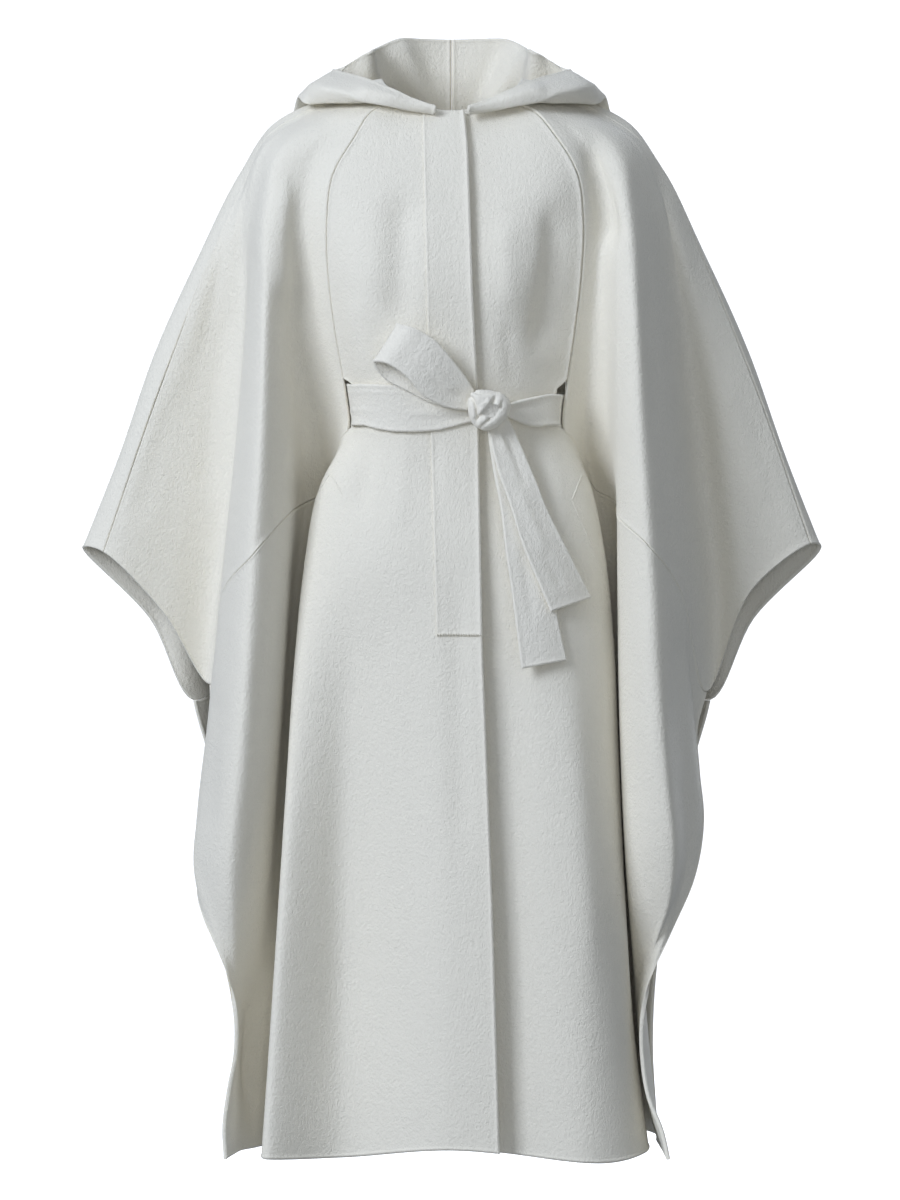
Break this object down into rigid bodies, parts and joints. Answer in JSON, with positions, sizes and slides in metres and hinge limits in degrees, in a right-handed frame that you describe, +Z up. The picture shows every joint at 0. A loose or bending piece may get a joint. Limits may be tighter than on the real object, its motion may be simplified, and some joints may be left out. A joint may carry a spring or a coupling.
{
  "type": "hooded cape coat",
  "caption": "Belted, hooded cape coat of thick wool in its worn form: wide open-sided sleeves, concealed button placket, hood lying down behind the neck",
  "frame": {"origin": "middle of the neck opening at the height of the front neckline, where the wearer's shoulders hold the garment", "axes": "+Z up, +X to the wearer's left, -Y the way the wearer faces"},
  "size_m": [0.8138, 0.4305, 1.2295],
  "materials": {
    "wool": "soft brushed double-faced wool, ivory, matt",
    "belt": "the same wool, folded into a flat belt with soft raised edges"
  },
  "bodies": {
    "root": {"front_right": "wool", "front_left": "wool", "placket": "wool", "sleeve_front_right": "wool", "sleeve_front_left": "wool", "sleeve_back_right": "wool", "sleeve_back_left": "wool", "back": "wool", "hood_right": "wool", "hood_left": "wool", "belt_front_right": "belt", "belt_front_left": "belt", "belt_back": "belt", "belt_knot": "belt", "belt_loop": "belt", "belt_tail_upper": "belt", "belt_tail_lower": "belt"}
  },
  "joints": []
}
